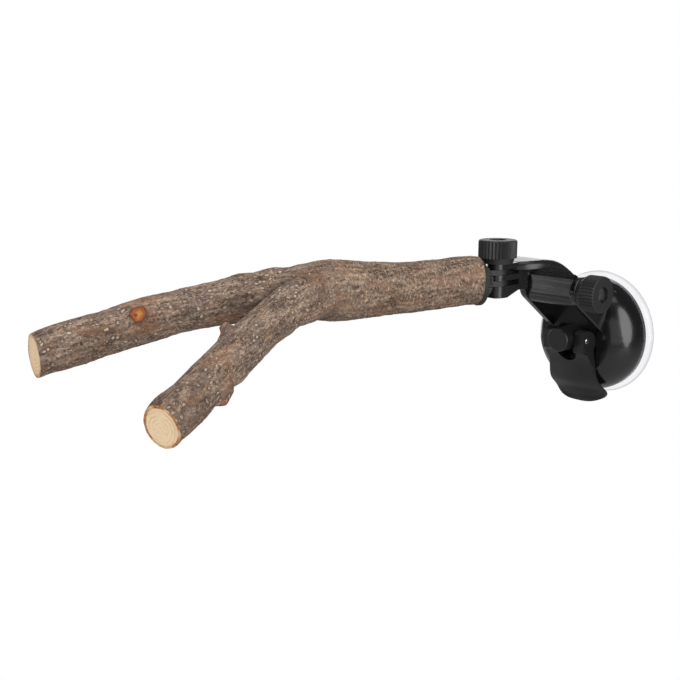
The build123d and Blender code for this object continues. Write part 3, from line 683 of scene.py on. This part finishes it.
def close_end(piece, cut, wood):
    """Closes a sawn end with flat wood inside a ring of inner bark."""
    inner = 1 - INNER_BARK * MM / open_rim(piece, cut)
    bpy.ops.object.mode_set(mode="EDIT")
    bpy.ops.mesh.edge_face_add()
    bpy.ops.mesh.select_mode(type="FACE")
    bpy.ops.mesh.extrude_region_move(TRANSFORM_OT_translate={"value": (0, 0, 0)})
    bpy.ops.transform.resize(value=(inner, inner, inner), center_override=mm(*cut))
    bpy.ops.mesh.select_more()
    piece.active_material_index = 1
    bpy.ops.object.material_slot_assign()
    bpy.ops.mesh.select_less()
    piece.active_material_index = wood
    bpy.ops.object.material_slot_assign()
    bpy.ops.object.mode_set(mode="OBJECT")


def times(tree, first, second):
    """Two masks together."""
    return calc(tree, "MULTIPLY", first, second)


def distance_to(tree, place, point):
    """How far a place lies from a point, in metres."""
    node = add(tree, "ShaderNodeVectorMath", operation="DISTANCE")
    tree.links.new(place, node.inputs[0])
    node.inputs[1].default_value = point
    return node.outputs["Value"]


def wandering(tree, place, scale, reach):
    """A place shifted by a noise."""
    noise = add(tree, "ShaderNodeTexNoise")
    tree.links.new(place, noise.inputs["Vector"])
    noise.inputs["Scale"].default_value = scale
    shifted = add(tree, "ShaderNodeVectorMath", operation="MULTIPLY_ADD")
    tree.links.new(noise.outputs["Color"], shifted.inputs[0])
    shifted.inputs[1].default_value = (reach, reach, reach)
    tree.links.new(place, shifted.inputs[2])
    return shifted.outputs[0]


def scattered(tree, place, scale, rarity):
    """Cells over the bark: the distance from each one's middle, and 1 in the cells that bear a mark."""
    cells = add(tree, "ShaderNodeTexVoronoi", feature="F1")
    tree.links.new(place, cells.inputs["Vector"])
    cells.inputs["Scale"].default_value = scale
    chosen = add(tree, "ShaderNodeSeparateColor")
    tree.links.new(cells.outputs["Color"], chosen.inputs[0])
    return cells.outputs["Distance"], ramp(tree, chosen.outputs[0], rarity, rarity + 0.05)


def dots(tree, cells, inner, outer):
    """Round marks in the chosen cells, full within one radius and gone beyond the other."""
    distance, picked = cells
    return times(tree, ramp(tree, distance, inner, outer, 1.0, 0.0), picked)


PRONGS_FROM = (-225, -175)  # along Y, where the trunk's bark turns to the prongs', mm
NEAR_SIDE = (-46, -36)  # along X, between the far prong and the near one, mm
NEAR_END = (-310, -270)  # along Y, where painted shade darkens the near prong to its end, mm
RAGGED = 3.6  # how far the edges of knot and scars wander, mm

bark_wood, tree, shader = new_material("bark_wood", Specular_IOR_Level=0.25)
place = object_place(tree)
grain = add(tree, "ShaderNodeAttribute", attribute_name="grain").outputs["Vector"]
grain = wandering(tree, grain, 0.25, 3.0)
painted_crotch_shade = add(tree, "ShaderNodeAttribute", attribute_name="crotch").outputs["Fac"]
apart = add(tree, "ShaderNodeSeparateXYZ")
tree.links.new(place, apart.inputs[0])
on_prongs = over_span(tree, apart.outputs[1], PRONGS_FROM, 1.0, 0.0)
# Painted shade over the end of the near prong.
painted_tip_shade = times(
    tree, over_span(tree, apart.outputs[0], NEAR_SIDE), over_span(tree, apart.outputs[1], NEAR_END, 1.0, 0.0),
)

prong_speck = cloudy(tree, stretched(tree, grain, 0.5, 1, 1), 1.15, 3, 0.75)
trunk_speck = cloudy(tree, stretched(tree, grain, 1, 0.55, 0.55), 1.15, 3, 0.7)
speck_mix = add(tree, "ShaderNodeMix", data_type="FLOAT")
for socket, value in ((0, on_prongs), (2, trunk_speck), (3, prong_speck)):
    tree.links.new(value, speck_mix.inputs[socket])
speck = speck_mix.outputs[0]
streak = cloudy(tree, stretched(tree, grain, 0.14, 1, 1), 0.6, 3, 0.6)
broad = cloudy(tree, stretched(tree, grain, 0.5, 1, 1), 0.11, 3)
tone = calc(tree, "ADD", times(tree, speck, 0.5), times(tree, streak, 0.33))
tone = calc(tree, "ADD", tone, times(tree, broad, 0.17))
middle = mixed(tree, on_prongs, paint(114, 97, 84), paint(124, 105, 91))
pale = mixed(tree, on_prongs, paint(158, 135, 114), paint(170, 148, 129))
colour = mixed(tree, ramp(tree, tone, 0.42, 0.5), paint(72, 57, 48), middle)
colour = mixed(tree, ramp(tree, tone, 0.5, 0.59), colour, pale)

half_on_trunk = ramp(tree, on_prongs, 0, 1, 0.5, 1.0)
for along, scale, rough, low, high, most, where, tint in (  # dark blotches, tan, grey streaks, russet
    (0.4, 0.16, 0.55, 0.53, 0.66, 0.6, on_prongs, (70, 60, 55)),
    (0.35, 0.13, 0.5, 0.52, 0.64, 0.4, half_on_trunk, (146, 108, 80)),
    (0.2, 0.21, 0.5, 0.53, 0.66, 0.42, on_prongs, (96, 89, 90)),
    (1, 0.1, 0.5, 0.54, 0.68, 0.4, 1.0, (124, 88, 68)),
):
    patch = cloudy(tree, stretched(tree, grain, along, 1, 1), scale, 3, rough)
    share = times(tree, ramp(tree, patch, low, high, 0.0, most), where)
    colour = mixed(tree, share, colour, paint(*tint))

cluster = ramp(tree, cloudy(tree, stretched(tree, grain, 0.6, 1, 1), 0.09, 2), 0.42, 0.6, 0.25, 1.0)
pores = scattered(tree, stretched(tree, grain, 0.8, 1, 1), 0.38, 0.3)
lenticel = times(tree, dots(tree, pores, 0.165, 0.33), cluster)
# A dark ring round each lenticel is its painted shadow; the same ring also sinks the bark's bump a little.
lenticel_painted_shadow = times(tree, dots(tree, pores, 0.33, 0.726), cluster)
small_dot = dots(tree, scattered(tree, stretched(tree, grain, 0.7, 1, 1), 0.75, 0.5), 0.14, 0.28)
fleck = dots(tree, scattered(tree, stretched(tree, grain, 1.5, 0.42, 0.42), 0.55, 0.45), 0.15, 0.3)
for mark, on_trunk, on_prong, tint in (
    (lenticel_painted_shadow, 0.1, 0.55, (62, 51, 45)),
    (small_dot, 0.25, 0.7, (198, 178, 158)),
    (fleck, 0.65, 0.15, (200, 164, 128)),
    (lenticel, 0.3, 0.75, (204, 184, 162)),
):
    share = times(tree, mark, ramp(tree, on_prongs, 0, 1, on_trunk, on_prong))
    colour = mixed(tree, share, colour, paint(*tint))
# Painted shade darkens the bark in the crotch.
colour = mixed(tree, times(tree, painted_crotch_shade, 0.7), colour, paint(62, 48, 40))
# Painted shade darkens the near prong towards its end.
colour = mixed(tree, times(tree, painted_tip_shade, 0.28), colour, paint(78, 58, 46))

ragged = wandering(tree, place, 300, RAGGED * MM)
knot_wood = mixed(tree, cloudy(tree, place, 900, 3, 0.6), paint(112, 58, 28), paint(172, 98, 46))
for spot, inner, outer, most, tint in (  # knot from its halo to its pit, pruned bump, twig stub
    (KNOT_HALO, 2.0, 9.0, 0.4, paint(118, 74, 52)),
    (KNOT, 3.6, 5.0, 0.8, paint(72, 48, 38)),
    (KNOT, 3.0, 3.8, 1.0, knot_wood),
    (KNOT, 1.0, 2.6, 0.6, paint(202, 140, 80)),
    (KNOT_PIT, 0.6, 1.4, 0.85, paint(84, 44, 24)),
    (BUMP_TIP, 1.6, 6.5, 0.7, paint(140, 78, 50)),
    (TWIG, 2.0, 6.0, 0.5, paint(104, 66, 50)),
):
    gap = distance_to(tree, ragged, mm(*(value + RAGGED / 2 for value in spot)))
    share = times(tree, over_span(tree, gap, (inner, outer), 1.0, 0.0), most)
    colour = mixed(tree, share, colour, tint)
coloured(tree, shader, colour, uneven(tree, speck, 0.95, 0.72))
height = calc(tree, "ADD", times(tree, speck, 0.6), times(tree, streak, 0.6))
height = calc(tree, "ADD", height, times(tree, lenticel, 0.3))
height = calc(tree, "SUBTRACT", height, times(tree, lenticel_painted_shadow, 0.15))
bumped(tree, shader, height, 0.5, 0.6)

inner_bark, tree, shader = new_material("inner_bark", Specular_IOR_Level=0.25, Roughness=0.8)
place = object_place(tree)
fibre = ramp(tree, cloudy(tree, place, 700, 4, 0.6), 0.35, 0.65)
worn = ramp(tree, cloudy(tree, place, 150, 2), 0.45, 0.6, 0.0, 0.75)
colour = mixed(tree, fibre, paint(150, 92, 54), paint(200, 146, 98))
tree.links.new(mixed(tree, worn, colour, paint(232, 202, 164)), shader.inputs["Base Color"])

RING_RATE = 3.4  # radians of the ring pattern per mm
RING_WANDER = 3.2  # mm
FAR_PITH = (FAR_CUT[0][0] + 1.0, FAR_CUT[0][1], FAR_CUT[0][2] + 1.2)
NEAR_PITH = (NEAR_CUT[0][0] - 1.0, NEAR_CUT[0][1], NEAR_CUT[0][2] - 0.8)


def cut_wood(name, pith):
    """Sawn end grain: pale wood with uneven growth rings about the pith."""
    material, tree, shader = new_material(name, Specular_IOR_Level=0.25)
    place = object_place(tree)
    radius = times(tree, distance_to(tree, place, mm(*pith)), 1 / MM)
    wander = times(tree, cloudy(tree, place, 190, 3), RING_WANDER)
    ring = calc(tree, "SINE", times(tree, calc(tree, "ADD", radius, wander), RING_RATE))
    faint = ramp(tree, cloudy(tree, place, 130, 2), 0.35, 0.65, 0.08, 0.55)
    ring = times(tree, ramp(tree, ring, 0.1, 1.0), faint)
    saw = cloudy(tree, place, 900, 3, 0.6)
    colour = mixed(tree, ring, paint(250, 223, 185), paint(212, 170, 126))
    colour = mixed(tree, ramp(tree, saw, 0.45, 0.7, 0.0, 0.28), colour, paint(208, 166, 120))
    colour = mixed(tree, ramp(tree, radius, 6.5, 9.5, 0.0, 0.25), colour, paint(212, 162, 112))
    coloured(tree, shader, colour, uneven(tree, saw, 0.7, 0.9))
    bumped(tree, shader, saw, 0.3, 0.2)
    return material


for material in (bark_wood, inner_bark, cut_wood("far_wood", FAR_PITH), cut_wood("near_wood", NEAR_PITH)):
    bark.data.materials.append(material)
close_end(bark, FAR_CUT[0], 2)
close_end(bark, NEAR_CUT[0], 3)
open_rim(bark, ROOT_CUT[0])
bpy.ops.object.mode_set(mode="EDIT")
bpy.ops.mesh.bridge_edge_loops()
bpy.ops.object.mode_set(mode="OBJECT")

# The grain's places and the painted shade in the crotch are stored on the points.
limb_place, _, painted_shade_in_crotch = on_the_limbs(bark)
limb_place = limb_place.astype(np.float32).ravel()
bark.data.attributes.new("grain", "FLOAT_VECTOR", "POINT").data.foreach_set("vector", limb_place)
bark.data.attributes.new("crotch", "FLOAT", "POINT").data.foreach_set("value", painted_shade_in_crotch.astype(np.float32))
active(bark)
bpy.ops.object.shade_smooth_by_angle(angle=math.radians(BARK_SMOOTH_ANGLE))
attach(bark, "branch")
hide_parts("branch")

# Stage.
# Pale floor well below the perch and white behind it. Soft boxes stand above, in front, at the upper left, to
# the right and behind, with two small cards on the left. The camera looks from the right, a little above.
FLOOR_SIZE, FLOOR_LEVEL = 8, -0.5
UNDER_PERCH = (-0.03, -0.16, 0)

bpy.ops.object.select_all(action="DESELECT")
bpy.ops.mesh.primitive_plane_add(size=FLOOR_SIZE, location=(0, 0, FLOOR_LEVEL))
floor = bpy.context.object
floor.name = "floor"


def seen_straight(tree):
    """1 where the camera looks straight at a surface or through the clear pad at it, else 0."""
    ray = add(tree, "ShaderNodeLightPath")
    return calc(tree, "MAXIMUM", ray.outputs["Is Camera Ray"], ray.outputs["Is Transmission Ray"])


pale_floor, tree, shader = new_material("pale_floor", Roughness=0.9)
place = object_place(tree)
cast = mixed(tree, cloudy(tree, place, 0.7, 2), paint(176, 176, 176), paint(184, 184, 184))
tree.links.new(cast, shader.inputs["Base Color"])
white = add(tree, "ShaderNodeEmission")
white.inputs["Strength"].default_value = 1.0
shadow_kept = ramp(tree, distance_to(tree, place, UNDER_PERCH), 0.15, 0.45, 0.8, 1.0)
both = add(tree, "ShaderNodeMixShader")
tree.links.new(times(tree, seen_straight(tree), shadow_kept), both.inputs[0])
tree.links.new(shader.outputs[0], both.inputs[1])
tree.links.new(white.outputs[0], both.inputs[2])
tree.links.new(both.outputs[0], tree.nodes["Material Output"].inputs["Surface"])
wear(floor, pale_floor)

world = bpy.data.worlds.new("studio")
bpy.context.scene.world = world
world.use_nodes = True
tree = world.node_tree
backdrop = tree.nodes["Background"]
backdrop.inputs["Color"].default_value = (1, 1, 1, 1)
dim = ramp(tree, add(tree, "ShaderNodeLightPath").outputs["Is Glossy Ray"], 0, 1, 0.3, 0.08)
tree.links.new(calc(tree, "MAXIMUM", seen_straight(tree), dim), backdrop.inputs["Strength"])


def soft_box(name, place, target, width, height, power, shape="RECTANGLE"):
    """A flat soft light that faces a place."""
    lamp = bpy.data.lights.new(name, "AREA")
    lamp.shape = shape
    lamp.size, lamp.size_y, lamp.energy = width, height, power
    holder = bpy.data.objects.new(name, lamp)
    holder.location = place
    holder.rotation_euler = (Vector(target) - Vector(place)).to_track_quat("-Z", "Y").to_euler()
    holder.visible_camera = False
    holder.visible_transmission = False
    bpy.context.scene.collection.objects.link(holder)


soft_box("top_box", (-0.1, -0.3, 1.0), (-0.03, -0.16, 0.02), 1.1, 1.1, 5)
soft_box("front_box", (1.0, -1.05, 0.15), (0.0, -0.1, 0.0), 1.2, 1.1, 2.8)
soft_box("brow_box", (-0.3, -1.2, 0.85), (-0.04, -0.25, 0.02), 0.9, 0.7, 5)
soft_box("right_box", (1.18, -0.25, 0.34), (0.0, -0.02, 0.0), 0.9, 1.7, 14, "ELLIPSE")
soft_box("back_box", (-1.0, 0.85, 0.26), (0.0, -0.1, 0.04), 1.6, 1.2, 11)
soft_box("left_card", (-0.66, -0.92, 0.17), (0.0, -0.05, 0.03), 0.34, 0.26, 0.6)
soft_box("low_card", (-0.8, -0.62, -0.42), (0.0, -0.06, 0.03), 0.5, 0.4, 0.8)

lens = bpy.data.cameras.new("camera")
lens.lens = 52.94
lens.sensor_width = 36.0
camera = bpy.data.objects.new("camera", lens)
camera.location = (0.3535, -0.5212, 0.1179)
camera.rotation_euler = (math.radians(78.5), 0, math.radians(49))
bpy.context.scene.collection.objects.link(camera)
bpy.context.scene.camera = camera
bpy.context.scene.view_settings.view_transform = "Standard"
